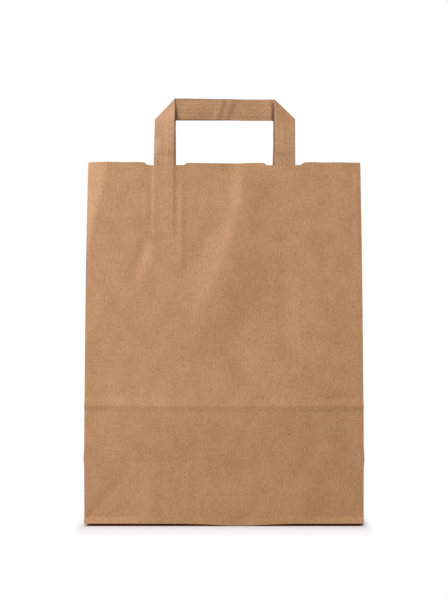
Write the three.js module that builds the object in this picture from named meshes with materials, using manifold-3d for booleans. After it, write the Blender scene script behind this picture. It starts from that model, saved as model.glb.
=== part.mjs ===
// A kraft paper carrier bag, standing open: a folded block-bottom body and two flat paper handles.
// Millimetres, +Z up, the front wall faces -Y, the origin is under the middle of the base.
import * as THREE from 'three';
import { mergeVertices } from 'three/addons/utils/BufferGeometryUtils.js';
import Module from 'manifold-3d';

// Body
const BAG_WIDTH = 320;
const BAG_DEPTH = 140;
const BAG_HEIGHT = 420; // along the paper, from the base fold to the cut edge
const PAPER = 0.14; // one ply of 100 g/m2 kraft
const FLAP_OVERLAP = 24; // the two long base flaps over each other
const SEAM_WIDTH = 20; // the glued lap down the back wall
const SEAM_INSET = 6; // from the back wall's corner fold to the lap
const SEAM_STEP = 0.5; // the lap's edge, as the paper eases over it

// How the walls stand
const MOUTH_LEAN = 43; // each wall leans in by this at the mouth
const FOOT_HEIGHT = 8; // the crease just above the base fold
const FOOT_FLARE = 1.5; // the base fold stands out from that crease
const APEX_OUT = 4; // the gusset triangle's tip, pressed out
const GUSSET_SETTLE = 80; // the gusset has its full fold this far above that tip
const PUCKER = 0.8; // the corner folds stand out where the bag was folded flat
const IMPRINT_HEIGHT = 134.7; // the crease left by the folded-up base
const IMPRINT_BAND = 8.6; // from that crease's ridge to each of its sides
const IMPRINT_RISE = 0.9;

// The soft buckle down the front wall: a ridge, with a hollow beside it
const BUCKLE_RISE = 1.5;
const BUCKLE_WIDTH = 26;
const BUCKLE_TOP = 15; // the ridge's place across the wall, at the mouth
const BUCKLE_DRIFT = 62; // how far it wanders to the left on its way down
const BUCKLE_FOOT = 190; // the height where it fades out
const HOLLOW_OFFSET = 58; // from the ridge to the hollow

// Notches in the cut edge, one at each handle leg
const NOTCH_WIDTH = 50;
const NOTCH_DEPTH = 3;
const NOTCH_SLANT = 4;
const NOTCH_INSET = 1; // from the leg's middle line towards the bag's

// Handles
const HANDLE_WIDTH = 165;
const HANDLE_RISE = 79.5; // along the tape, from the notch to the bar's top edge
const TAPE_WIDTH = 24;
const TAPE = 0.6; // the folded plies of the tape together
const TAPE_PRESS = 0.05; // the tape's two layers press into each other at the corner folds
const LEG_GLUED = 80; // along the wall, from the notch down to the leg's cut end
const BARS_CLEAR = 28; // the two handles lean in until this is left between their bars
const GLUE_LINE = 0.3;

// Fineness of the folded sheet
const WALL_COLUMNS = 16;
const TRIANGLE_ROWS = 4;
const SETTLE_ROWS = 4;
const UPPER_ROWS = 13;
const LEG_ROWS = 8;
const MITRE_LIMIT = 6; // in thicknesses, at the sharpest folds

const HALF_WIDTH = BAG_WIDTH / 2;
const HALF_DEPTH = BAG_DEPTH / 2;
const FLAP_LENGTH = HALF_DEPTH + FLAP_OVERLAP / 2;
const LEG_CENTRE = HANDLE_WIDTH / 2 - TAPE_WIDTH / 2;
const NOTCH_CENTRE = LEG_CENTRE - NOTCH_INSET;
const LEG_TOP = BAG_HEIGHT - NOTCH_DEPTH;
const LEG_FOOT = LEG_TOP - LEG_GLUED;
const END_FLAP_FOOT = 3 * PAPER; // the end flaps lie on three layers
const SEAM_START = BAG_WIDTH - SEAM_INSET - SEAM_WIDTH;
const SEAM_END = BAG_WIDTH - SEAM_INSET;

const wasm = await Module();
wasm.setup();

function toSolid(geometry) {
  const bare = geometry.clone();
  bare.deleteAttribute('normal');
  bare.deleteAttribute('uv');
  const merged = mergeVertices(bare, 1e-5);
  const vertProperties = new Float32Array(merged.attributes.position.array);
  const triVerts = new Uint32Array(merged.index.array);
  return new wasm.Manifold(new wasm.Mesh({ numProp: 3, vertProperties, triVerts }));
}

function toMesh(solid, name, material) {
  const { vertProperties, triVerts } = solid.getMesh();
  const geometry = new THREE.BufferGeometry();
  geometry.setAttribute('position', new THREE.BufferAttribute(vertProperties, 3));
  geometry.setIndex(new THREE.BufferAttribute(triVerts, 1));
  geometry.computeVertexNormals();
  const mesh = new THREE.Mesh(geometry, material);
  mesh.name = name;
  return mesh;
}

// A flat plate between two levels, then placed by a matrix.
function plate(outline, low, high, placed = new THREE.Matrix4()) {
  const shape = new THREE.Shape(outline.map(([x, y]) => new THREE.Vector2(x, y)));
  const geometry = new THREE.ExtrudeGeometry(shape, { depth: high - low, bevelEnabled: false });
  return toSolid(geometry.translate(0, 0, low).applyMatrix4(placed));
}

// A plate whose outline is drawn in X and Z and that runs along Y.
function curtain(outline, near, far) {
  const shape = new THREE.Shape(outline.map(([x, z]) => new THREE.Vector2(x, z)));
  const geometry = new THREE.ExtrudeGeometry(shape, { depth: far - near, bevelEnabled: false });
  return toSolid(geometry.rotateX(Math.PI / 2).translate(0, far, 0));
}

function evenSteps(from, to, count) {
  return Array.from({ length: count }, (_, i) => from + ((to - from) * (i + 1)) / count);
}

function bump(x, centre, width) {
  return Math.exp(-(((x - centre) / width) ** 2));
}

// How far a wall has moved in towards the middle at a height along the paper.
function lean(height) {
  return MOUTH_LEAN * (height / BAG_HEIGHT) ** 2;
}

function imprint(height) {
  return IMPRINT_RISE * Math.max(0, 1 - Math.abs(height - IMPRINT_HEIGHT) / IMPRINT_BAND);
}

// A smooth swell that starts at one height and ends at another.
function arch(height, low, high) {
  const share = THREE.MathUtils.clamp((height - low) / (high - low), 0, 1);
  return Math.sin(Math.PI * share);
}

// The ridge runs up to the mouth, and the hollow ends under the glued handle leg.
function buckle(x, height) {
  const left = (BAG_HEIGHT - height) / (BAG_HEIGHT - BUCKLE_FOOT);
  const ridgeX = BUCKLE_TOP - BUCKLE_DRIFT * left;
  const ridge = arch(height, BUCKLE_FOOT, BAG_HEIGHT) * bump(x, ridgeX, BUCKLE_WIDTH);
  const hollow = arch(height, BUCKLE_FOOT, LEG_FOOT) * bump(x, ridgeX + HOLLOW_OFFSET, BUCKLE_WIDTH);
  return BUCKLE_RISE * (ridge - hollow);
}

function cornerX(height) {
  return HALF_WIDTH + PUCKER * bump(height, HALF_DEPTH, FOOT_HEIGHT);
}

function cornerY(height) {
  const flare = FOOT_FLARE * Math.min(height / FOOT_HEIGHT, 1);
  return HALF_DEPTH - flare - lean(height) * (1 - FOOT_FLARE / MOUTH_LEAN);
}

// A point of the front wall's outer face, by its distance from the left corner fold.
function frontWall(across, height) {
  const x = (across / BAG_WIDTH - 0.5) * 2 * cornerX(height);
  return new THREE.Vector2(x, -cornerY(height) - imprint(height) - buckle(x, height));
}

function backWall(across, height) {
  const x = (0.5 - across / BAG_WIDTH) * 2 * cornerX(height);
  return new THREE.Vector2(x, cornerY(height) + imprint(height));
}

// How far the gusset's middle fold stands in from the corner folds; below zero it stands out.
function gussetDepth(height) {
  if (height <= HALF_DEPTH) return (-APEX_OUT * height) / HALF_DEPTH;
  const open = HALF_DEPTH - lean(height);
  const folded = Math.sqrt(HALF_DEPTH ** 2 - open ** 2);
  const settled = THREE.MathUtils.smoothstep(height, HALF_DEPTH, HALF_DEPTH + GUSSET_SETTLE);
  return THREE.MathUtils.lerp(-APEX_OUT, folded, settled);
}

// A point of the right gusset, by its distance from the front corner fold. The paper between the
// corner fold and the crease keeps its length, so it bows in where the walls are still upright.
function rightGusset(across, height) {
  const fromCorner = Math.min(across, BAG_DEPTH - across);
  const side = across <= HALF_DEPTH ? -1 : 1;
  const creased = Math.min(height, HALF_DEPTH);
  const creaseX = HALF_WIDTH - gussetDepth(height);
  if (fromCorner >= creased && height < HALF_DEPTH) {
    return new THREE.Vector2(creaseX, side * (HALF_DEPTH - fromCorner));
  }
  const along = fromCorner / creased;
  const creaseY = HALF_DEPTH - creased;
  const slackFree = HALF_DEPTH - lean(height) - creaseY;
  const chord = Math.hypot(creaseX - HALF_WIDTH, slackFree);
  const bow = Math.sqrt(4 * chord * Math.max(0, creased - chord)) / Math.PI;
  const x = THREE.MathUtils.lerp(cornerX(height), creaseX, along) - bow * Math.sin(Math.PI * along);
  return new THREE.Vector2(x, side * THREE.MathUtils.lerp(cornerY(height), creaseY, along));
}

function leftGusset(across, height) {
  return rightGusset(BAG_DEPTH - across, height).multiply(new THREE.Vector2(-1, 1));
}

// The gusset's columns and lowest rows share their steps, so that the 45-degree creases run
// from corner to corner of the cells.
const triangleSteps = [0, FOOT_HEIGHT, ...evenSteps(FOOT_HEIGHT, HALF_DEPTH, TRIANGLE_ROWS)];
const gussetSteps = [
  ...triangleSteps,
  ...triangleSteps.slice(1, -1).reverse().map((step) => BAG_DEPTH - step),
];
const wallSteps = evenSteps(0, BAG_WIDTH, WALL_COLUMNS).map((step) => step - BAG_WIDTH / WALL_COLUMNS);
const seamSteps = [SEAM_START, SEAM_START + SEAM_STEP, SEAM_END - SEAM_STEP, SEAM_END];
const backSteps = [...wallSteps, ...seamSteps]
  .sort((a, b) => a - b)
  .filter((step, i, all) => i === 0 || step - all[i - 1] > SEAM_STEP / 2);
const rows = [
  ...triangleSteps,
  ...evenSteps(HALF_DEPTH, IMPRINT_HEIGHT - IMPRINT_BAND, SETTLE_ROWS),
  IMPRINT_HEIGHT,
  IMPRINT_HEIGHT + IMPRINT_BAND,
  ...evenSteps(IMPRINT_HEIGHT + IMPRINT_BAND, BAG_HEIGHT, UPPER_ROWS),
];

// The line moved to its left by a distance, with its corners mitred.
function movedLeft(points, distance, closed) {
  return points.map((point, i) => {
    const before = points[i - 1] ?? (closed ? points.at(-1) : point);
    const after = points[i + 1] ?? (closed ? points[0] : point);
    const normals = [point.clone().sub(before), after.clone().sub(point)]
      .filter((edge) => edge.length() > 0)
      .map((edge) => new THREE.Vector2(-edge.y, edge.x).normalize());
    const middle = normals.reduce((sum, n) => sum.add(n), new THREE.Vector2()).normalize();
    const reach = Math.min(1 / middle.dot(normals[0]), MITRE_LIMIT);
    return point.clone().addScaledVector(middle, distance * reach);
  });
}

// Stations round the tube, anticlockwise from above. Each stands on its own layers of the base.
const isLap = (across) => across > SEAM_START && across < SEAM_END;
const stations = [
  ...wallSteps.map((across) => ({ place: frontWall, across, foot: 0 })),
  ...gussetSteps.map((across) => ({ place: rightGusset, across, foot: END_FLAP_FOOT })),
  ...backSteps.map((across) => ({ place: backWall, across, foot: PAPER, lap: isLap(across) })),
  ...gussetSteps.map((across) => ({ place: leftGusset, across, foot: END_FLAP_FOOT })),
];

// The sheet's own height at each row of a station: the paper doesn't stretch, so what it moves
// sideways it loses in height.
function climb({ place, across, foot }) {
  const start = across === 0 ? 0 : foot;
  const heights = [start];
  for (let j = 1; j < rows.length; j += 1) {
    const length = rows[j] - rows[j - 1];
    const sideways = place(across, rows[j]).distanceTo(place(across, rows[j - 1]));
    heights.push(heights[j - 1] + Math.sqrt(Math.max(0, length ** 2 - sideways ** 2)));
  }
  return heights;
}

function tube() {
  const heights = stations.map(climb);
  const count = stations.length;
  const positions = [];
  const sheets = { outer: [], inner: [] };
  const keep = (sheet, points, j) => {
    sheets[sheet].push(points.map((point, i) => {
      positions.push(point.x, point.y, heights[i][j]);
      return positions.length / 3 - 1;
    }));
  };
  rows.forEach((row, j) => {
    const folded = stations.map(({ place, across }) => place(across, row));
    const lapped = movedLeft(folded, -PAPER, true);
    keep('outer', folded.map((point, i) => (stations[i].lap ? lapped[i] : point)), j);
    keep('inner', movedLeft(folded, PAPER, true), j);
  });

  const triangles = [];
  const quad = (a, b, c, d, falling) => {
    triangles.push(...(falling ? [a, b, d, b, c, d] : [a, b, c, a, c, d]));
  };
  const { outer, inner } = sheets;
  const top = rows.length - 1;
  stations.forEach(({ place, across }, i) => {
    const next = (i + 1) % count;
    const isGusset = place === rightGusset || place === leftGusset;
    const falling = isGusset && across >= HALF_DEPTH;
    for (let j = 0; j < top; j += 1) {
      quad(outer[j][i], outer[j][next], outer[j + 1][next], outer[j + 1][i], falling);
      quad(inner[j][next], inner[j][i], inner[j + 1][i], inner[j + 1][next], !falling);
    }
    quad(outer[top][i], outer[top][next], inner[top][next], inner[top][i]);
    quad(inner[0][i], inner[0][next], outer[0][next], outer[0][i]);
  });
  const geometry = new THREE.BufferGeometry();
  geometry.setAttribute('position', new THREE.Float32BufferAttribute(positions, 3));
  geometry.setIndex(triangles);
  return toSolid(geometry);
}

// The base: two long flaps folded in from the walls, the front one outermost, the corners tucked
// under each, and the two end flaps folded in from the gussets on top of them.
function base() {
  const x = HALF_WIDTH - PAPER / 2;
  const y = HALF_DEPTH - PAPER / 2;
  const flap = [[-x, -y], [x, -y], [x - FLAP_LENGTH, FLAP_LENGTH - y], [FLAP_LENGTH - x, FLAP_LENGTH - y]];
  const tuck = [[x, -y], [x - FLAP_LENGTH, -y], [x - FLAP_LENGTH, FLAP_LENGTH - y]];
  const end = [[x, -y], [x, y], [x - FLAP_LENGTH, y], [x - FLAP_LENGTH, -y]];
  const mirror = (outline, alongX, alongY) => outline.map(([a, b]) => [a * alongX, b * alongY]);
  const layers = [
    [flap, 0, PAPER],
    [mirror(flap, 1, -1), PAPER, 2 * PAPER],
  ];
  for (const side of [-1, 1]) {
    layers.push([mirror(tuck, side, 1), PAPER, END_FLAP_FOOT]);
    layers.push([mirror(tuck, side, -1), 2 * PAPER, END_FLAP_FOOT]);
    layers.push([mirror(end, side, 1), END_FLAP_FOOT, END_FLAP_FOOT + PAPER]);
  }
  return layers.map((layer) => plate(...layer)).reduce((sum, part) => sum.add(part));
}

function notches() {
  const low = Math.max(...climb({ place: frontWall, across: 0, foot: 0 })) - NOTCH_DEPTH;
  const high = low + 2 * NOTCH_DEPTH;
  const foot = NOTCH_WIDTH / 2 - NOTCH_SLANT;
  const head = NOTCH_WIDTH / 2 + NOTCH_SLANT;
  const outline = (x) => [[x - foot, low], [x + foot, low], [x + head, high], [x - head, high]];
  const pair = [-NOTCH_CENTRE, NOTCH_CENTRE].map((x) => curtain(outline(x), -HALF_DEPTH, HALF_DEPTH));
  return pair[0].add(pair[1]);
}

// The front wall's line from the side, in Y and Z, up to a height along the paper.
function wallLine(height) {
  const steps = evenSteps(0, height, Math.ceil(height));
  let z = 0;
  steps.forEach((step, i) => {
    const length = step - (steps[i - 1] ?? 0);
    z += Math.sqrt(length ** 2 - (cornerY(step) - cornerY(step - length)) ** 2);
  });
  return new THREE.Vector2(-cornerY(height), z);
}

// One tape: two legs against the inside of the wall and a bar folded behind them at 45 degrees.
function handle() {
  const clear = new THREE.Vector2(PAPER + GLUE_LINE, 0);
  const glued = [0, ...evenSteps(0, LEG_GLUED, LEG_ROWS)]
    .map((step) => wallLine(LEG_FOOT + step).add(clear));
  const bend = glued.at(-1);
  const lean = Math.asin((-bend.x - BARS_CLEAR / 2 - 2 * TAPE) / HANDLE_RISE);
  const upward = new THREE.Vector2(Math.sin(lean), Math.cos(lean));
  const front = [...glued, bend.clone().addScaledVector(upward, HANDLE_RISE)];
  const profile = new THREE.Shape([...front, ...movedLeft(front, -TAPE, false).reverse()]);
  const strip = new THREE.ExtrudeGeometry(profile, { depth: TAPE_WIDTH, bevelEnabled: false });
  strip.applyMatrix4(new THREE.Matrix4().makeBasis(
    new THREE.Vector3(0, 1, 0), new THREE.Vector3(0, 0, 1), new THREE.Vector3(1, 0, 0)));
  const leg = (centre) => toSolid(strip.clone().translate(centre - TAPE_WIDTH / 2, 0, 0));

  const leaning = new THREE.Matrix4().makeBasis(
    new THREE.Vector3(1, 0, 0),
    new THREE.Vector3(0, upward.x, upward.y),
    new THREE.Vector3(0, -upward.y, upward.x),
  ).setPosition(0, bend.x, bend.y);

  const half = HANDLE_WIDTH / 2;
  const low = HANDLE_RISE - TAPE_WIDTH;
  const bar = [[-half, low], [half, low], [half - TAPE_WIDTH, HANDLE_RISE], [TAPE_WIDTH - half, HANDLE_RISE]];
  const past = TAPE_WIDTH / 4;
  const corner = (side) => [
    [side * (half + past), low - past],
    [side * (half - TAPE_WIDTH - past), HANDLE_RISE + past],
    [side * (half + past), HANDLE_RISE + past],
  ];
  return leg(-LEG_CENTRE)
    .add(leg(LEG_CENTRE))
    .subtract(plate(corner(-1), -2 * TAPE, TAPE, leaning))
    .subtract(plate(corner(1), -2 * TAPE, TAPE, leaning))
    .add(plate(bar, TAPE_PRESS - 2 * TAPE, TAPE_PRESS - TAPE, leaning));
}

const kraft = new THREE.MeshStandardMaterial({ color: '#b58966', roughness: 0.85, metalness: 0 });
const tape = new THREE.MeshStandardMaterial({ color: '#c09873', roughness: 0.8, metalness: 0 });

const bag = new THREE.Group();
bag.add(toMesh(tube().add(base()).subtract(notches()), 'bag_body', kraft));
bag.add(toMesh(handle(), 'front_handle', tape));
const backHandle = toMesh(handle(), 'back_handle', tape);
backHandle.rotation.z = Math.PI;
bag.add(backHandle);

export default bag;
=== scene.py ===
import math

import bpy
import numpy as np
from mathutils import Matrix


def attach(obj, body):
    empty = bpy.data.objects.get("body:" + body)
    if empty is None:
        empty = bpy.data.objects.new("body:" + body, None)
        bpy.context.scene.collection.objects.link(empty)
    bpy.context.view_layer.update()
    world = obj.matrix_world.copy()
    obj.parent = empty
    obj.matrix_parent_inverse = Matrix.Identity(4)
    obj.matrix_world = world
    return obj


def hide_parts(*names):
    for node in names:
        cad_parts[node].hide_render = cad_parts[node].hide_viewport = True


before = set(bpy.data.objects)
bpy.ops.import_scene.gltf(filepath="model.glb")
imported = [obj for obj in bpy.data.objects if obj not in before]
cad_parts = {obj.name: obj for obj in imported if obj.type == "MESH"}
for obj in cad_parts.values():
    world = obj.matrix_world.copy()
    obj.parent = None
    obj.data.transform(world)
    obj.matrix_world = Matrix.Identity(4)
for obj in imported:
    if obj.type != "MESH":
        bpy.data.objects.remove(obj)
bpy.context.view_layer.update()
bpy.ops.object.select_all(action="DESELECT")

# Camera
# The bag was photographed level and square to its front wall, from about 1.6 m away and a little
# above its middle, so the side gussets and the back wall stay hidden.
IMAGE_HEIGHT = 600
FOCAL_PIXELS = 1400
HORIZON_ROW = 285
SENSOR_MM = 24
EYE_DISTANCE = 1.6
EYE_ABOVE_FOOT = 0.2728
BAG_DEPTH = 0.140
FRONT_LIFT = 0.0024

bpy.ops.object.camera_add(
    location=(0, -BAG_DEPTH / 2 - EYE_DISTANCE, FRONT_LIFT + EYE_ABOVE_FOOT),
    rotation=(math.pi / 2, 0, 0),
)
camera = bpy.context.object
camera.name = "camera"
camera.data.sensor_fit = "VERTICAL"
camera.data.sensor_height = SENSOR_MM
camera.data.lens = SENSOR_MM * FOCAL_PIXELS / IMAGE_HEIGHT
camera.data.shift_y = (HORIZON_ROW - IMAGE_HEIGHT / 2) / IMAGE_HEIGHT
bpy.context.scene.camera = camera

# Body
# One sheet of brown kraft paper, glued into a tube down the back wall and creased into two wide
# walls and two gussets. It was stored flat with its base folded up, and those creases still show.
BAG_WIDTH = 0.320
BAG_HEIGHT = 0.420
PAPER = 0.00014
SEAM_WIDTH = 0.020
SEAM_INSET = 0.006
SEAM_START = BAG_WIDTH - SEAM_INSET - SEAM_WIDTH
LAP_CLEAR = 0.00002
LAP_EASE = 0.002
MOUTH_LEAN = 0.043
FOOT_HEIGHT = 0.008
FOOT_FLARE = 0.0015
APEX_OUT = 0.004
GUSSET_SETTLE = 0.080
PUCKER = 0.0008
PUCKER_AT = 0.0755
HALF_WIDTH = BAG_WIDTH / 2
HALF_DEPTH = BAG_DEPTH / 2
PERIMETER = 2 * (BAG_WIDTH + BAG_DEPTH)
BACK_START = BAG_WIDTH + BAG_DEPTH
SHEET_START = BACK_START + SEAM_START
SHEET_END = SHEET_START + PERIMETER + SEAM_WIDTH


def smooth(low, high, value):
    share = np.clip((value - low) / (high - low), 0, 1)
    return share * share * (3 - 2 * share)


def bump(value, centre, width):
    return np.exp(-(((value - centre) / width) ** 2))


def lean(height):
    return MOUTH_LEAN * (height / BAG_HEIGHT) ** 2


def corner_x(height):
    return HALF_WIDTH + PUCKER * bump(height, PUCKER_AT, FOOT_HEIGHT)


def corner_y(height):
    flare = FOOT_FLARE * np.minimum(height / FOOT_HEIGHT, 1)
    return HALF_DEPTH - flare - lean(height) * (1 - FOOT_FLARE / MOUTH_LEAN)


# The crease left by the folded-up base steps the wall back. It is crisp near the corner folds,
# where more plies lay under it, and softer in the middle. The shares are of the crease's rise.
IMPRINT_HEIGHT = 0.1347
IMPRINT_RISE = 0.0026
IMPRINT_ABOVE = 0.0093
IMPRINT_BELOW = 0.0070
IMPRINT_NEAR = 0.006
SWELL_RISE = 0.0045
SWELL_REACH = 0.034
SWELL_START = 0.060
SWELL_END = 0.155
IMPRINT_EDGE = 0.0022
IMPRINT_TAIL = 0.090
ENDS_FROM = 0.098
ENDS_FULL = 0.116
IMPRINT_STEP = 0.0013
CRISP_ABOVE = 1.3
CRISP_BELOW = 0.65
SOFT_ABOVE = 0.88
SOFT_EDGE = 0.1
SOFT_BELOW = 0.42


def imprint_ends(x):
    return smooth(ENDS_FROM, ENDS_FULL, np.abs(x))


def imprint(x, height):
    ends = imprint_ends(x)
    line = IMPRINT_HEIGHT + IMPRINT_STEP * ends
    above = np.maximum(height - line, 0)
    below = np.maximum(line - height, 0)
    sunk = np.clip(below / IMPRINT_BELOW, 0, 1)
    crisp = CRISP_ABOVE * np.clip(1 - above / IMPRINT_ABOVE, 0, 1) - CRISP_BELOW * sunk
    soft = SOFT_ABOVE * np.exp(-above / IMPRINT_NEAR) - SOFT_BELOW * sunk
    soft = soft + SOFT_EDGE * np.clip(1 - above / IMPRINT_EDGE, 0, 1)
    swell = SWELL_RISE * np.exp(-above / SWELL_REACH) * (1 - smooth(SWELL_START, SWELL_END, np.abs(x)))
    rise = IMPRINT_RISE * (soft + (crisp - soft) * ends) + swell
    return rise * (1 - smooth(0, IMPRINT_TAIL, below))


# The glued handle legs press through the walls as low pads, each by its centre, how far its sides
# and its foot stand out, and how far both ease out. The paper dips just below each foot.
LEG_CENTRE = 0.0705
LEG_FOOT = 0.337
TAPE_WIDTH = 0.0246
PADS = ((-LEG_CENTRE, 0.00063, 0.00050, 0.0023, 0.0060), (LEG_CENTRE, 0.00010, 0.00045, 0.014, 0.007))
PAD_EASE_INSIDE = 1 / 3
PAD_FOOT_BAND = 0.012
FOOT_DIP = 0.0015
DIP_BELOW = 0.003
DIP_HEIGHT = 0.0055
DIP_WIDTH = 0.011


def leg_pads(x, height):
    rise = 0
    for centre, side_rise, foot_rise, side_ease, foot_ease in PADS:
        away = np.abs(x - centre)
        eased = TAPE_WIDTH / 2 - side_ease * PAD_EASE_INSIDE
        wide = 1 - smooth(eased, eased + side_ease, away)
        near_foot = bump(height, LEG_FOOT, PAD_FOOT_BAND)
        tall = smooth(LEG_FOOT - foot_ease, LEG_FOOT, height)
        rise = rise + (side_rise + (foot_rise - side_rise) * near_foot) * wide * tall
        below = bump(height, LEG_FOOT - foot_ease - DIP_BELOW, DIP_HEIGHT)
        rise = rise - FOOT_DIP * bump(x, centre, DIP_WIDTH) * below
    return rise


# The soft buckle that comes down from the mouth with a long dent beside it, and lesser folds of
# handling. Each is a path down the wall, its half-width at both ends, how much wider it is on its
# right side, and how far it stands out. Each fades over a share of its path at both ends.
FADE_FIRST = 0.15
FADE_LAST = 0.3
TINY = 1e-9
BUCKLE = (
    (0.023, 0.420),
    (0.022, 0.377),
    (0.015, 0.344),
    (0.003, 0.306),
    (-0.013, 0.268),
    (-0.033, 0.215),
)
LONG_DENT = ((0.064, 0.288), (0.046, 0.256), (0.025, 0.222), (0.005, 0.196), (-0.018, 0.172))
HANDLING = (
    (BUCKLE, (0.009, 0.018), 2.4, 0.0032),
    (LONG_DENT, (0.020, 0.032), 2.0, -0.0030),
    (((-0.016, 0.336), (-0.054, 0.276)), (0.008, 0.010), 1, -0.0010),
    (((0.073, 0.276), (0.073, 0.184)), (0.010, 0.011), 1.6, -0.0014),
    (((-0.090, 0.330), (-0.108, 0.270)), (0.0060, 0.0085), 1, -0.0013),
    (((-0.050, 0.398), (-0.050, 0.276)), (0.0030, 0.0030), 1.4, 0.00070),
    (((-0.158, 0.004), (-0.101, 0.069)), (0.0026, 0.0040), 1, -0.00055),
    (((0.158, 0.004), (0.101, 0.069)), (0.0026, 0.0040), 1, -0.00032),
    (((-0.154, 0.300), (-0.154, 0.060)), (0.0016, 0.0016), 1, 0.00012),
    (((0.153, 0.300), (0.153, 0.060)), (0.0016, 0.0016), 1, 0.00012),
    (((0.1545, 0.419), (0.1545, 0.300)), (0.0014, 0.0018), 1, 0.00055),
    (((-0.0905, 0.392), (-0.0905, 0.340)), (0.0030, 0.0030), 1.5, 0.00040),
    (((-0.070, 0.395), (-0.085, 0.388)), (0.0016, 0.0016), 1, 0.00030),
    (((-0.042, 0.064), (-0.040, 0.016)), (0.0022, 0.0022), 1, 0.00035),
    (((-0.028, 0.032), (-0.028, 0.006)), (0.0014, 0.0014), 1, 0.00035),
    (((-0.146, 0.419), (-0.146, 0.330)), (0.050, 0.040), 1.2, 0.0020),
    (((0.116, 0.1445), (0.161, 0.1445)), (0.0040, 0.0045), 1, -0.00050),
    (((-0.156, 0.0700), (0.066, 0.0700)), (0.0034, 0.0034), 1, -0.00045),
)


def handling(x, height):
    rise = np.zeros_like(x)
    for path, (first, last), right_wider, stands in HANDLING:
        lengths = [math.dist(a, b) for a, b in zip(path, path[1:])]
        nearest = np.full_like(x, np.inf)
        share = np.zeros_like(x)
        right = np.zeros_like(x)
        gone = 0
        for (ax, ah), (bx, bh), length in zip(path, path[1:], lengths):
            t = np.clip(((x - ax) * (bx - ax) + (height - ah) * (bh - ah)) / length**2, 0, 1)
            away = np.hypot(x - ax - t * (bx - ax), height - ah - t * (bh - ah))
            closer = away < nearest
            nearest = np.where(closer, away, nearest)
            share = np.where(closer, (gone + t * length) / sum(lengths), share)
            beside = (height - ah) * (bx - ax) - (x - ax) * (bh - ah)
            turn = beside / (length * np.maximum(away, TINY))
            right = np.where(closer, smooth(-1, 1, turn), right)
            gone += length
        width = (first + (last - first) * share) * (1 + (right_wider - 1) * right)
        fade = smooth(0, FADE_LAST, 1 - share) * smooth(-FADE_FIRST, FADE_FIRST, share)
        rise = rise + stands * fade * bump(nearest, 0, width)
    return rise


# The mouth is bent back in its middle and pushed out by the right leg.
MOUTH_BEND = 0.0072
BEND_AT = 0.015
BEND_WIDTH = 0.036
BEND_FROM = BAG_HEIGHT - 0.022
BEND_FULL = BAG_HEIGHT + 0.012
MOUTH_PUSH = 0.0009
PUSH_AT = LEG_CENTRE + 0.004
PUSH_WIDTH = 0.017
PUSH_FROM = BAG_HEIGHT - 0.010
PUSH_FULL = BAG_HEIGHT - 0.003


def mouth_forms(x, height):
    bend = smooth(BEND_FROM, BEND_FULL, height) * bump(x, BEND_AT, BEND_WIDTH)
    push = smooth(PUSH_FROM, PUSH_FULL, height) * bump(x, PUSH_AT, PUSH_WIDTH)
    return MOUTH_PUSH * push - MOUTH_BEND * bend


# Both walls: the base crease, and a band along the foot that flares at the corners only, so most
# of the flare is taken back in the middle.
FOOT_PINCH = 0.0022
FOOT_MIDDLE_END = 0.085
FOOT_CORNER_START = 0.125
FLARE_TAKEN_BACK = 0.75


def base_forms(x, height):
    middle = 1 - smooth(FOOT_MIDDLE_END, FOOT_CORNER_START, np.abs(x))
    foot = np.minimum(height / FOOT_HEIGHT, 1) * (1 - smooth(FOOT_HEIGHT, HALF_DEPTH, height))
    pinch = FOOT_PINCH * (1 - middle) - FLARE_TAKEN_BACK * FOOT_FLARE * middle
    return imprint(x, height) - pinch * foot


# The left top corner of the front wall curls back, past a slanting line from the mouth to the fold.
CURL_FOOT = 0.300
CURL_WIDTH = 0.024
CURL_SLOPE = 0.31
CURL_EASE = 0.003


def curl(x, height):
    width = CURL_WIDTH * np.clip((height - CURL_FOOT) / (BAG_HEIGHT - CURL_FOOT), 0, 1)
    into = np.maximum(width - (x + HALF_WIDTH), 0)
    return CURL_SLOPE * into * into / (into + CURL_EASE)


# The front wall's forms end at its corner folds, which stay straight.
CORNER_EASE = 0.004


def front_wall(across, height):
    x = (across / HALF_WIDTH - 1) * corner_x(height)
    rise = leg_pads(x, height) + handling(x, height) + mouth_forms(x, height)
    rise = rise * smooth(0, CORNER_EASE, HALF_WIDTH - np.abs(x)) + base_forms(x, height)
    return x, -corner_y(height) - rise + curl(x, height)


def back_wall(across, height):
    x = (1 - across / HALF_WIDTH) * corner_x(height)
    return x, corner_y(height) + leg_pads(x, height) + base_forms(x, height)


# How far a gusset's middle is folded in from the corner folds: at its foot it is pressed out a
# little at the tip of its triangle, and above that it takes up what the walls lean in.
def gusset_depth(height):
    open_half = HALF_DEPTH - lean(height)
    folded_half = np.sqrt(np.maximum(HALF_DEPTH**2 - open_half**2, 0))
    upper = -APEX_OUT + (folded_half + APEX_OUT) * smooth(HALF_DEPTH, HALF_DEPTH + GUSSET_SETTLE, height)
    return np.where(height <= HALF_DEPTH, -APEX_OUT * height / HALF_DEPTH, upper)


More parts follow.
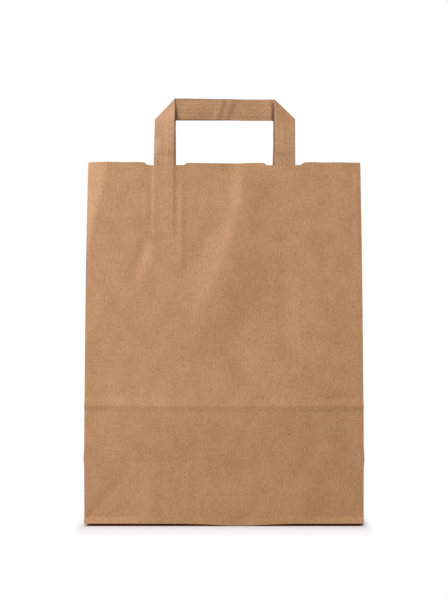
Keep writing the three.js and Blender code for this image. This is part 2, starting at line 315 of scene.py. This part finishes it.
# A gusset from the back wall to the front one, for the right side. Its paper is longer than the
# straight way across, so it bows inwards. The curled corner pulls the edge on that side.
def gusset(across, height, curled):
    from_corner = np.minimum(across, BAG_DEPTH - across)
    side = np.where(across <= HALF_DEPTH, -1, 1)
    pulled = np.where(side == curled, curl(-HALF_WIDTH, height), 0)
    creased = np.minimum(height, HALF_DEPTH)
    crease_x = HALF_WIDTH - gusset_depth(height)
    crease_y = HALF_DEPTH - creased
    chord = np.hypot(crease_x - HALF_WIDTH, HALF_DEPTH - lean(height) - pulled - crease_y)
    bow = np.sqrt(4 * chord * np.maximum(creased - chord, 0)) / math.pi
    along = np.minimum(from_corner / np.maximum(creased, TINY), 1)
    x = corner_x(height) + (crease_x - corner_x(height)) * along - bow * np.sin(math.pi * along)
    held = corner_y(height) + base_forms(HALF_WIDTH, height) - pulled
    y = held * (1 - along) + crease_y * along
    flat = (from_corner >= creased) & (height < HALF_DEPTH)
    return np.where(flat, crease_x, x), side * np.where(flat, HALF_DEPTH - from_corner, y)


def right_gusset(across, height):
    return gusset(across, height, 0)


def left_gusset(across, height):
    x, y = gusset(BAG_DEPTH - across, height, -1)
    return -x, y


# Where a point of the sheet lies once folded, seen from above. The sheet's last stretch passes the
# seam again and lies on the outside of its first.
def folded(around, height):
    station = np.mod(around, PERIMETER)
    starts = (0, BAG_WIDTH, BACK_START, BACK_START + BAG_WIDTH, PERIMETER)
    x = np.zeros_like(height)
    y = np.zeros_like(height)
    for panel, start, end in zip((front_wall, right_gusset, back_wall, left_gusset), starts, starts[1:]):
        here = (station >= start) & (station < end)
        x[here], y[here] = panel(station[here] - start, height[here])
    lapped = smooth(-LAP_EASE, 0, around - SHEET_START - PERIMETER)
    return x, y + lapped * (PAPER + LAP_CLEAR)


# The mouth is cut a little lower beside each handle leg: each notch by its centre and width. Where
# the wall curls or bends, the paper stands a little higher, by centre, half-width and height.
NOTCHES = ((-0.0685, 0.0465), (0.0703, 0.0435))
NOTCH_SLANT = 0.004
NOTCH_DEPTH = 0.003
NOTCH_EASE = 0.007
MOUTH_STANDS = (
    (-0.160, 0.046, 0.0029),
    (-0.110, 0.026, 0.0006),
    (-0.051, 0.013, 0.0007),
    (0.017, 0.036, 0.0031),
    (0.130, 0.032, 0.0019),
)


def mouth_cut(around):
    station = np.mod(around, BACK_START)
    cut = 0
    for centre, width in NOTCHES:
        into = width / 2 + NOTCH_SLANT / 2 - np.abs(station - HALF_WIDTH - centre)
        cut = cut + NOTCH_DEPTH * np.clip(into / NOTCH_SLANT, 0, 1)
    cut = np.where(station < BAG_WIDTH, cut, 0)
    from_front = np.mod(around + PERIMETER / 2, PERIMETER) - PERIMETER / 2 - HALF_WIDTH
    for centre, width, stands in MOUTH_STANDS:
        cut = cut - stands * bump(from_front, centre, width)
    return cut


# Grid lines at an even pitch, with a close group of lines at each crease so that it stays crisp.
CREASE_HALF = 0.0006


def lines(low, high, pitch, creases=()):
    fixed = sorted(crease + side * CREASE_HALF for crease in creases for side in (-1, 0, 1))
    stops = [low] + [stop for stop in fixed if low + CREASE_HALF < stop < high - CREASE_HALF] + [high]
    out = [low]
    for start, end in zip(stops, stops[1:]):
        count = max(1, round((end - start) / pitch))
        out += [start + (end - start) * (i + 1) / count for i in range(count)]
    return out


GUSSET_PITCH = 0.0038
FRONT_PITCH = 0.0024
BACK_PITCH = 0.006
ROW_PITCH = 0.0030
low_rows = lines(0, HALF_DEPTH, GUSSET_PITCH, (FOOT_HEIGHT,))
high_creases = (
    IMPRINT_HEIGHT - IMPRINT_BELOW,
    IMPRINT_HEIGHT,
    IMPRINT_HEIGHT + IMPRINT_ABOVE,
    LEG_FOOT - DIP_BELOW,
    LEG_FOOT,
)
rows = low_rows + lines(HALF_DEPTH, BAG_HEIGHT, ROW_PITCH, high_creases)[1:]
both = (-1, 1)
leg_sides = [HALF_WIDTH + side * (LEG_CENTRE + edge * TAPE_WIDTH / 2) for side in both for edge in both]
notch_ends = [HALF_WIDTH + centre + edge * width / 2 for centre, width in NOTCHES for edge in both]
notch_corners = [end + edge * NOTCH_SLANT / 2 for end in notch_ends for edge in both]
gusset_lines = low_rows + [BAG_DEPTH - line for line in reversed(low_rows[:-1])]
front_lines = lines(0, BAG_WIDTH, FRONT_PITCH, leg_sides + notch_corners)
left_start = BACK_START + BAG_WIDTH
columns = lines(SHEET_START, left_start, BACK_PITCH)
columns += [left_start + line for line in gusset_lines[1:]]
columns += [PERIMETER + line for line in front_lines[1:]]
columns += [PERIMETER + BAG_WIDTH + line for line in gusset_lines[1:]]
seam_lines = [SHEET_START + PERIMETER - LAP_EASE / 2]
seam_lines += [PERIMETER + BACK_START + line for line in leg_sides + notch_corners]
columns += lines(PERIMETER + BACK_START, SHEET_END, BACK_PITCH, seam_lines)[1:]

# The bag rests on its base plies a little behind the front fold, which is lifted off the ground
# towards its corners and comes down to it in the middle.
LIFT_REACH = 0.034
DOWN_AT = 0.018
DOWN_WIDTH = 0.036
DOWN_SHARE = 0.9
DOWN_HEIGHT = 0.030


def lifted(y):
    return FRONT_LIFT * smooth(LIFT_REACH, 0, np.minimum(y + HALF_DEPTH, LIFT_REACH))


def let_down(x, y, height):
    return lifted(y) * DOWN_SHARE * bump(x, DOWN_AT, DOWN_WIDTH) * smooth(DOWN_HEIGHT, 0, height)


# The sheet flat, as stations around the bag and heights, and then its points once folded. Each
# rises by what is left of the paper's length once its way across and back is taken off. The back
# wall and the gussets start from the plies that lie under them.
STEP_REACH = 0.020
PLIES_UNDER_BACK = 1
PLIES_UNDER_GUSSET = 3
around, height = np.meshgrid(columns, rows)
from_middle = np.mod(around, BACK_START) - HALF_WIDTH
height = height + IMPRINT_STEP * imprint_ends(from_middle) * bump(height, IMPRINT_HEIGHT, STEP_REACH)
cut = mouth_cut(around)
top = np.clip((height - BAG_HEIGHT + NOTCH_EASE) / NOTCH_EASE, 0, 1)
height = height - cut * top
x, y = folded(around, height)
on_back = (np.mod(around[0], PERIMETER) > BACK_START) & (np.mod(around[0], PERIMETER) < left_start)
on_front = np.mod(around[0], PERIMETER) <= BAG_WIDTH
up = np.zeros_like(height)
plies = np.where(on_front, 0, np.where(on_back, PLIES_UNDER_BACK, PLIES_UNDER_GUSSET))
up[0] = np.maximum(plies * PAPER, lifted(y[0]))
climbed = np.diff(height, axis=0) ** 2 - np.diff(x, axis=0) ** 2 - np.diff(y, axis=0) ** 2
up[1:] = up[0] + np.cumsum(np.sqrt(np.maximum(climbed, 0)), axis=0)
up = up - np.where(on_front, let_down(x, y, height), 0)

bpy.ops.mesh.primitive_grid_add(
    x_subdivisions=len(columns) - 1, y_subdivisions=len(rows) - 1, size=1, location=(0, 0, 0)
)
body = bpy.context.object
body.name = "folded_sheet"
body.data.vertices.foreach_set("co", np.stack((x, y, up), axis=-1).ravel())
flat_lay = np.stack((around, height), axis=-1).reshape(-1, 2)


def lay_out(piece, flat):
    corners = np.zeros(len(piece.data.loops), dtype=int)
    piece.data.loops.foreach_get("vertex_index", corners)
    layer = piece.data.uv_layers.active or piece.data.uv_layers.new(name="UVMap")
    layer.data.foreach_set("uv", flat[corners].astype(np.float32).ravel())


lay_out(body, flat_lay)


def thicken(piece, thickness, offset):
    solid = piece.modifiers.new("thickness", "SOLIDIFY")
    solid.thickness = thickness
    solid.offset = offset
    bpy.context.view_layer.objects.active = piece
    bpy.ops.object.modifier_apply(modifier=solid.name)


thicken(body, PAPER, -1)

# The base flaps, from the outside in: front flap, back flap, the tucked corners, the end flaps.
# Each is given by its ply, counted up from the ground, its corners, and whether it is turned round.
# The corners are taken in the order of a new plane's own.
FLAP_OVERLAP = 0.012
FLAP_CUTS = 24
FLAP_PAPER = PAPER * 0.98
TUCK_TIP = 0.0001
PLANE_CORNERS = (0, 3, 1, 2)
SHARP_EDGE = math.radians(40)
flap_end = HALF_WIDTH - HALF_DEPTH - FLAP_OVERLAP
tuck_end = HALF_WIDTH - HALF_DEPTH
wide_flap = (
    (-HALF_WIDTH, -HALF_DEPTH),
    (-flap_end, FLAP_OVERLAP),
    (flap_end, FLAP_OVERLAP),
    (HALF_WIDTH, -HALF_DEPTH),
)
tucked_corner = (
    (-HALF_WIDTH, -HALF_DEPTH),
    (-HALF_WIDTH, HALF_DEPTH),
    (-tuck_end, TUCK_TIP),
    (-tuck_end, -TUCK_TIP),
)
end_flap = (
    (-HALF_WIDTH, -HALF_DEPTH),
    (-HALF_WIDTH, HALF_DEPTH),
    (-flap_end, HALF_DEPTH),
    (-flap_end, -HALF_DEPTH),
)
FLAPS = (
    (0, wide_flap, 1),
    (1, wide_flap, -1),
    (2, tucked_corner, 1),
    (2, tucked_corner, -1),
    (3, end_flap, 1),
    (3, end_flap, -1),
)
flaps = []
for ply, outline, facing in FLAPS:
    bpy.ops.mesh.primitive_plane_add(size=1, location=(0, 0, 0))
    flap = bpy.context.object
    corners = [(facing * outline[corner][0], facing * outline[corner][1]) for corner in PLANE_CORNERS]
    for vertex, corner in zip(flap.data.vertices, corners):
        vertex.co = (*corner, ply * PAPER)
    lay_out(flap, np.array(corners))
    bpy.ops.object.mode_set(mode="EDIT")
    bpy.ops.mesh.select_all(action="SELECT")
    bpy.ops.mesh.subdivide(number_cuts=FLAP_CUTS)
    bpy.ops.object.mode_set(mode="OBJECT")
    for vertex in flap.data.vertices:
        vertex.co.z += lifted(vertex.co.y) - let_down(vertex.co.x, vertex.co.y, 0)
    thicken(flap, FLAP_PAPER, -1)
    flaps.append(flap)
bpy.ops.object.select_all(action="DESELECT")
for piece in (*flaps, body):
    piece.select_set(True)
bpy.context.view_layer.objects.active = body
bpy.ops.object.join()
bpy.ops.object.shade_smooth_by_angle(angle=SHARP_EDGE)


# A colour from its sRGB hex code, made linear by the sRGB curve.
def linear(code):
    out = []
    for start in (0, 2, 4):
        value = int(code[start : start + 2], 16) / 255
        out.append(value / 12.92 if value <= 0.04045 else ((value + 0.055) / 1.055) ** 2.4)
    return (*out, 1)


# A node, with its inputs given as plain values or as the sockets that feed them.
def add(tree, kind, inputs=None, **settings):
    made = tree.nodes.new(kind)
    for name, value in settings.items():
        setattr(made, name, value)
    for socket, value in (inputs or {}).items():
        if isinstance(value, bpy.types.NodeSocket):
            tree.links.new(value, made.inputs[socket])
        else:
            made.inputs[socket].default_value = value
    return made


def work_out(tree, operation, *terms, kind="ShaderNodeMath", **settings):
    return add(tree, kind, dict(enumerate(terms)), operation=operation, **settings).outputs[0]


# Natural kraft: unbleached softwood pulp, machine-made, with its fibres along the sheet. It is matt
# with a faint glaze, a little cloudy, with a fleck of fibres and faint ribs along the machine's run,
# and a few dark specks of bark. The fleck is drawn a little coarser than it is, so that it shows.
KRAFT_LIGHT = linear("BC9069")
KRAFT_DARK = linear("A87C55")
KRAFT_SPECK = linear("6B4A30")
KRAFT_CLOUD = 0.020
CLOUD_RUN = 1.3
KRAFT_RIB = 0.0017
KRAFT_FLECK = 0.0023
FLECK_RUN = 1.5
FLECK_ROUGHNESS = 0.7
TONE_LOW = 0.36
TONE_HIGH = 0.64
SPECK_SPACING = 0.015
SPECK_CHANCE = 0.5
SPECK_LARGEST = 0.056
SPECK_SHARE = 0.6
RIB_RELIEF = 0.6
RELIEF_STRENGTH = 0.5
RELIEF_HEIGHT = 0.00006
KRAFT_ROUGHNESS = 0.62
KRAFT_IOR = 1.47
KRAFT_SPECULAR = 0.4


def kraft(name, light, dark, across_axis, rib_run, rib_share, fleck_share):
    material = bpy.data.materials.new(name)
    material.use_nodes = True
    tree = material.node_tree
    tree.nodes.clear()
    place = add(tree, "ShaderNodeUVMap", uv_map="UVMap").outputs["UV"]

    def grain(across, along, detail, roughness=0.5):
        size = (across, along) if across_axis == 0 else (along, across)
        scaled = add(tree, "ShaderNodeMapping", {"Vector": place, "Scale": (1 / size[0], 1 / size[1], 1)})
        inputs = {"Vector": scaled.outputs[0], "Scale": 1, "Detail": detail, "Roughness": roughness}
        return add(tree, "ShaderNodeTexNoise", inputs, noise_dimensions="2D").outputs["Fac"]

    cloud = grain(KRAFT_CLOUD, KRAFT_CLOUD * CLOUD_RUN, detail=2)
    rib = grain(KRAFT_RIB, KRAFT_RIB * rib_run, detail=1)
    fleck = grain(KRAFT_FLECK, KRAFT_FLECK * FLECK_RUN, detail=3, roughness=FLECK_ROUGHNESS)
    mixed = work_out(tree, "MULTIPLY", cloud, 1 - rib_share - fleck_share)
    mixed = work_out(tree, "MULTIPLY_ADD", rib, rib_share, mixed)
    mixed = work_out(tree, "MULTIPLY_ADD", fleck, fleck_share, mixed)
    tone = add(tree, "ShaderNodeMapRange", {"Value": mixed, "From Min": TONE_LOW, "From Max": TONE_HIGH})
    paper = add(tree, "ShaderNodeMix", {0: tone.outputs[0], 6: dark, 7: light}, data_type="RGBA")

    spots = add(
        tree, "ShaderNodeTexVoronoi", {"Vector": place, "Scale": 1 / SPECK_SPACING}, voronoi_dimensions="2D"
    )
    chance = add(tree, "ShaderNodeSeparateColor", {"Color": spots.outputs["Color"]})
    size = add(
        tree,
        "ShaderNodeMapRange",
        {"Value": chance.outputs[0], "From Min": SPECK_CHANCE, "To Max": SPECK_LARGEST},
    )
    inside = work_out(tree, "LESS_THAN", spots.outputs["Distance"], size.outputs[0])
    faded = work_out(tree, "MULTIPLY", inside, SPECK_SHARE)
    colour = add(tree, "ShaderNodeMix", {0: faded, 6: paper.outputs[2], 7: KRAFT_SPECK}, data_type="RGBA")

    raised = add(
        tree,
        "ShaderNodeBump",
        {
            "Height": work_out(tree, "MULTIPLY_ADD", rib, RIB_RELIEF, fleck),
            "Strength": RELIEF_STRENGTH,
            "Distance": RELIEF_HEIGHT,
        },
    )
    shader = add(
        tree,
        "ShaderNodeBsdfPrincipled",
        {
            "Base Color": colour.outputs[2],
            "Roughness": KRAFT_ROUGHNESS,
            "IOR": KRAFT_IOR,
            "Specular IOR Level": KRAFT_SPECULAR,
            "Normal": raised.outputs[0],
        },
    )
    add(tree, "ShaderNodeOutputMaterial", {"Surface": shader.outputs[0]})
    return material


kraft_paper = kraft(
    "natural kraft paper",
    KRAFT_LIGHT,
    KRAFT_DARK,
    across_axis=0,
    rib_run=6,
    rib_share=0.17,
    fleck_share=0.58,
)
body.data.materials.clear()
body.data.materials.append(kraft_paper)
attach(body, "root")
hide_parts("bag_body")

# Handles
# Each is one flat tape of kraft, folded over on itself to several plies and glued. It is turned
# over at 45 degrees at both corners, and its legs are glued to the inside of their wall.
TAPE = 0.0006
EDGE_ROUND = TAPE * 0.4
EDGE_SEGMENTS = 2
EDGE_ANGLE = math.radians(60)
GLUE_LINE = 0.0003
LEG_TOP = 0.417
FRONT_RISE = 0.0800
BACK_RISE = 0.0860
FRONT_SKEW = 0.005
BACK_SKEW = 0.002
FRONT_LEAN = 0.0017
FRONT_ASIDE = 0.0006
BACK_ASIDE = -0.0004
BARS_CLEAR = 0.028
FOLD_RADIUS = 0.00036
HALF_TAPE = TAPE_WIDTH / 2
TAPE_CENTRE = 0.07085
LEG_PITCH = 0.004
LEG_MARGIN = 0.0015
FOLD_STEPS = 6
LEG_STEPS = 34
BAR_STEPS = 96
TAPE_PITCH = 0.002
across_tape = np.array(lines(-HALF_TAPE, HALF_TAPE, TAPE_PITCH))


# The tape's middle down one leg inside its wall, from the foot of the leg: (in, up) for each
# station. The tape is stiffer than the wall, so it lies flat on what comes furthest in.
def down_the_wall(side, facing):
    from_leg = np.abs(facing * x[0] - side * TAPE_CENTRE) + np.where(facing * y[0] < 0, 0, BAG_WIDTH)
    nearest = int(np.argmin(from_leg))
    stations = lines(LEG_FOOT, LEG_TOP, LEG_PITCH)
    behind_leg = np.flatnonzero(from_leg < HALF_TAPE + LEG_MARGIN)
    inner = [np.interp(stations, height[:, column], facing * y[:, column]) for column in behind_leg]
    inward = np.max(inner, axis=0) + PAPER + GLUE_LINE + TAPE / 2
    return inward, np.interp(stations, height[:, nearest], up[:, nearest])


# The left leg of each tape is turned to face outwards, which brings its inner edge and the end of
# the bar forward.
LEFT_TURN = math.radians(14.5)
TURN_START = 0.004
TURN_FULL = 0.030
TURN_FADE = 0.100


def turned_left(px, rise):
    turn = LEFT_TURN * smooth(TURN_START, TURN_FULL, rise)
    into = np.clip(px + TAPE_CENTRE + HALF_TAPE, 0, TAPE_WIDTH)
    fade = 1 - smooth(0, TURN_FADE, px + TAPE_CENTRE - HALF_TAPE)
    return px - into * (1 - np.cos(turn)) * fade, into * np.sin(turn) * fade


# Soft dents across the legs and ridges across the bar, from the tape being bent in storage and in
# the hand. Each dent is given by its leg and its rise above the mouth.
LEG_DENTS = ((-1, 0.0115), (1, 0.0115), (1, 0.0285))
DENT_DEPTH = 0.0009
DENT_WIDTH = 0.0030
BAR_RIDGES = (-0.0055, 0.0045)
RIDGE_RISE = 0.0009
RIDGE_WIDTH = 0.0040
RIDGE_SLANT = 0.30


def leg_dents(side, risen):
    return -sum(DENT_DEPTH * bump(risen, at, DENT_WIDTH) for leg, at in LEG_DENTS if leg == side)


def bar_ridges(px, u):
    return sum(RIDGE_RISE * bump(px - RIDGE_SLANT * u, at, RIDGE_WIDTH) for at in BAR_RIDGES)


# The 45-degree folds spring open a little, so the bar lies a little behind the legs, and it bends
# further back where it goes in behind the right leg.
BAR_BEHIND = 0.0018
BEHIND_REACH = 0.012
BAR_TUCK = 0.0024
TUCK_REACH = 0.0030
TUCK_FROM_FOLD = 0.006
BAR_TWIST = 0.16


def sprung(px, u):
    from_fold = (TAPE_CENTRE - u - np.abs(px)) / math.sqrt(2)
    tucked = BAR_TUCK * smooth(-TUCK_REACH, 0, px - TAPE_CENTRE + HALF_TAPE)
    behind = BAR_BEHIND * smooth(0, BEHIND_REACH, from_fold)
    twisted = BAR_TWIST * u * smooth(0, BEHIND_REACH, from_fold)
    return FOLD_RADIUS + behind - twisted + tucked * smooth(0, TUCK_FROM_FOLD, from_fold)


# A row of points round a 45-degree fold, at an angle from the leg's side of it to the bar's.
def fold_row(side, u, corner, angle):
    past = FOLD_RADIUS * math.sin(angle) / math.sqrt(2)
    out = np.full_like(u, FOLD_RADIUS * math.cos(angle))
    return side * (TAPE_CENTRE - u + past), corner + u + past, out


# A tape above the mouth, as rows of points up the left leg, along the bar and down the right leg:
# (across the bag, rise above the mouth, out towards the front) for each.
def tape_rows(rise):
    corner = rise - HALF_TAPE
    u = across_tape
    rows_made = []
    shares = np.linspace(0, 1, LEG_STEPS)[1:]
    folds = np.linspace(0, math.pi, FOLD_STEPS + 1)[1:-1]
    for share in shares:
        risen = share * (corner + u)
        rows_made.append((-TAPE_CENTRE + u, risen, FOLD_RADIUS * share + leg_dents(-1, risen)))
    for angle in folds:
        rows_made.append(fold_row(-1, u, corner, angle))
    for share in np.linspace(0, 1, BAR_STEPS):
        px = (-TAPE_CENTRE + u) * (1 - share) + (TAPE_CENTRE - u) * share
        rows_made.append((px, corner + u, bar_ridges(px, u) - sprung(px, u)))
    for angle in folds[::-1]:
        rows_made.append(fold_row(1, u, corner, angle))
    for share in shares[::-1]:
        risen = share * (corner + u)
        rows_made.append((TAPE_CENTRE - u, risen, FOLD_RADIUS * share + leg_dents(1, risen)))
    return rows_made


def handle(name, facing, rise, skew, leans, aside):
    left_in, left_up = down_the_wall(-1, facing)
    right_in, right_up = down_the_wall(1, facing)
    mouth_in = (left_in[-1] + right_in[-1]) / 2
    mouth_up = (left_up[-1] + right_up[-1]) / 2
    tilt = math.asin((-mouth_in - BARS_CLEAR / 2 - 2 * TAPE) / FRONT_RISE)
    level = np.ones_like(across_tape)
    left_leg = zip(left_in, left_up)
    placed = [(aside - TAPE_CENTRE + across_tape, py * level, pz * level) for py, pz in left_leg]
    for px, risen, out in tape_rows(rise):
        px, forward = turned_left(px, risen)
        px = px + aside + leans * risen / rise * smooth(TAPE_CENTRE, -TAPE_CENTRE, px)
        risen = risen * (1 + skew * px / FRONT_RISE)
        forward = forward + out
        back = mouth_in + (right_in[-1] - left_in[-1]) / 2 * np.clip(px / TAPE_CENTRE, -1, 1)
        back = back + risen * math.sin(tilt) - forward * math.cos(tilt)
        placed.append((px, back, mouth_up + risen * math.cos(tilt) + forward * math.sin(tilt)))
    right_leg = zip(right_in[::-1], right_up[::-1])
    placed += [(aside + TAPE_CENTRE - across_tape, py * level, pz * level) for py, pz in right_leg]
    placed = np.array(placed).transpose(0, 2, 1)
    middle = placed[:, len(across_tape) // 2]
    along = np.concatenate(([0], np.cumsum(np.linalg.norm(np.diff(middle, axis=0), axis=1))))
    placed[:, :, :2] *= facing
    bpy.ops.mesh.primitive_grid_add(
        x_subdivisions=len(across_tape) - 1, y_subdivisions=len(placed) - 1, size=1, location=(0, 0, 0)
    )
    tape = bpy.context.object
    tape.name = name
    tape.data.vertices.foreach_set("co", placed.ravel())
    flat_along, flat_across = np.meshgrid(along, across_tape, indexing="ij")
    lay_out(tape, np.stack((flat_along, flat_across), axis=-1).reshape(-1, 2))
    thicken(tape, TAPE, 0)
    edges = tape.modifiers.new("folded edges", "BEVEL")
    edges.width = EDGE_ROUND
    edges.segments = EDGE_SEGMENTS
    edges.limit_method = "ANGLE"
    edges.angle_limit = EDGE_ANGLE
    bpy.context.view_layer.objects.active = tape
    bpy.ops.object.modifier_apply(modifier=edges.name)
    bpy.ops.object.select_all(action="DESELECT")
    tape.select_set(True)
    bpy.ops.object.shade_smooth_by_angle(angle=SHARP_EDGE)
    return tape


# Handle kraft: the same pulp in a heavier grade, its fibres and glue lines along the tape.
TAPE_LIGHT = linear("C0956F")
TAPE_DARK = linear("A07653")
kraft_tape = kraft(
    "folded kraft tape",
    TAPE_LIGHT,
    TAPE_DARK,
    across_axis=1,
    rib_run=40,
    rib_share=0.26,
    fleck_share=0.44,
)

# The tape is painted darker along its long edges, as painted shade at its folded edges.
TAPE_EDGE_SHADE = linear("6F4A30")
EDGE_REACH = 0.0010
EDGE_FULL = 0.0003
EDGE_SHARE = 0.6
tree = kraft_tape.node_tree
laid_out = add(tree, "ShaderNodeUVMap", uv_map="UVMap").outputs["UV"]
flat = add(tree, "ShaderNodeSeparateXYZ", {0: laid_out})
# Painted shade: the tape's colour is mixed towards dark brown close to its long edges.
painted_edge_shade = add(
    tree,
    "ShaderNodeMapRange",
    {
        "Value": work_out(tree, "ABSOLUTE", flat.outputs["Y"]),
        "From Min": HALF_TAPE - EDGE_REACH,
        "From Max": HALF_TAPE - EDGE_FULL,
        "To Max": EDGE_SHARE,
    },
)
shader = next(node for node in tree.nodes if node.type == "BSDF_PRINCIPLED")
pulp = shader.inputs["Base Color"].links[0].from_socket
edge_shaded_colour = add(tree, "ShaderNodeMix", {0: painted_edge_shade.outputs[0], 6: pulp, 7: TAPE_EDGE_SHADE}, data_type="RGBA")
tree.links.new(edge_shaded_colour.outputs[2], shader.inputs["Base Color"])
for name, node, facing, rise, skew, leans, aside in (
    ("front_tape", "front_handle", 1, FRONT_RISE, FRONT_SKEW, FRONT_LEAN, FRONT_ASIDE),
    ("back_tape", "back_handle", -1, BACK_RISE, BACK_SKEW, 0, BACK_ASIDE),
):
    tape = handle(name, facing, rise, skew, leans, aside)
    tape.data.materials.clear()
    tape.data.materials.append(kraft_tape)
    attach(tape, "root")
    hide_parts(node)

# Floor
# A white board under the bag. Close to the bag it shows the true shadow, and further out it fades
# to pure white for the camera. Under the bag it is painted dark brown, as painted shade with painted light
# off the paper.
FLOOR_SIZE = 6
FLOOR_DROP = 0.0003
SHADOW_END = 0.072
SHADOW_CURVE = 0.36
SIDE_FASTER = 7
SHADED_EDGE = 0.003
SHADED_INSET = 0.004
BOARD_PAINTED_SHADE = linear("8A5F42")
BOARD_WHITE = linear("D2CDCB")
BOARD_ROUGHNESS = 0.5
WHITE = (1, 1, 1, 1)
NO_WAY = (0, 0, 0)
bpy.ops.mesh.primitive_plane_add(size=FLOOR_SIZE, location=(0, 0, -FLOOR_DROP))
floor = bpy.context.object
floor.name = "floor"
board = bpy.data.materials.new("matt white board")
board.use_nodes = True
tree = board.node_tree
tree.nodes.clear()


def vector(tree, operation, *terms):
    return work_out(tree, operation, *terms, kind="ShaderNodeVectorMath")


# How far a point lies outside the bag's base, from its way past the base's two nearest sides.
def reach(tree, way):
    outward = vector(tree, "MAXIMUM", way, NO_WAY)
    return add(tree, "ShaderNodeVectorMath", {0: outward}, operation="LENGTH").outputs["Value"]


# One for a ray that ends at the eye, straight or by a reflection, and nought for light on a piece.
def seen(tree):
    path = add(tree, "ShaderNodeLightPath").outputs
    direct = work_out(tree, "MAXIMUM", path["Is Camera Ray"], path["Is Glossy Ray"])
    return work_out(tree, "MAXIMUM", direct, path["Is Transmission Ray"])


spot = add(tree, "ShaderNodeTexCoord").outputs["Object"]
away = vector(tree, "SUBTRACT", vector(tree, "ABSOLUTE", spot), (HALF_WIDTH, HALF_DEPTH, 0))
distance = reach(tree, vector(tree, "MULTIPLY", away, (SIDE_FASTER, 1, 0)))
fade = work_out(tree, "DIVIDE", distance, SHADOW_END, use_clamp=True)
fade = work_out(tree, "POWER", fade, SHADOW_CURVE)
white_share = work_out(tree, "MULTIPLY", fade, seen(tree))
beyond = reach(tree, vector(tree, "ADD", away, (SHADED_INSET, 0, 0)))
near = work_out(tree, "DIVIDE", beyond, SHADED_EDGE, use_clamp=True)
# Painted shade: under the bag the board's colour is painted dark brown.
painted_shade_colour = add(tree, "ShaderNodeMix", {0: near, 6: BOARD_PAINTED_SHADE, 7: BOARD_WHITE}, data_type="RGBA")
paint = add(tree, "ShaderNodeBsdfDiffuse", {"Color": painted_shade_colour.outputs[2], "Roughness": BOARD_ROUGHNESS})
glow = add(tree, "ShaderNodeEmission", {"Color": WHITE, "Strength": 1})
surface = add(tree, "ShaderNodeMixShader", {0: white_share, 1: paint.outputs[0], 2: glow.outputs[0]})
add(tree, "ShaderNodeOutputMaterial", {"Surface": surface.outputs[0]})
floor.data.materials.append(board)

# Light
# A big soft lamp stands high on the left, in front of the bag, in an even white surround. The
# surround lights the bag only weakly, and is pure white to the eye.
LAMP_AWAY = 3.0
LAMP_SIZE = 1.6
LAMP_POWER = 92
LAMP_WAY = (-0.72, -0.62, 0.42)
SURROUND = 0.30
bpy.ops.object.light_add(type="AREA")
lamp = bpy.context.object
lamp.name = "softbox"
lamp.data.size = LAMP_SIZE
lamp.data.energy = LAMP_POWER
length = math.hypot(*LAMP_WAY)
lamp.location = [LAMP_AWAY * part / length for part in LAMP_WAY]
lamp.location.z += BAG_HEIGHT / 2
lamp.rotation_euler = (math.acos(LAMP_WAY[2] / length), 0, math.atan2(LAMP_WAY[0], -LAMP_WAY[1]))
world = bpy.data.worlds.new("studio")
bpy.context.scene.world = world
world.use_nodes = True
tree = world.node_tree
tree.nodes.clear()
surround = add(tree, "ShaderNodeBackground", {"Color": WHITE, "Strength": SURROUND})
backdrop = add(tree, "ShaderNodeBackground", {"Color": WHITE, "Strength": 1})
sky = add(tree, "ShaderNodeMixShader", {0: seen(tree), 1: surround.outputs[0], 2: backdrop.outputs[0]})
add(tree, "ShaderNodeOutputWorld", {"Surface": sky.outputs[0]})
bpy.context.scene.view_settings.view_transform = "Standard"
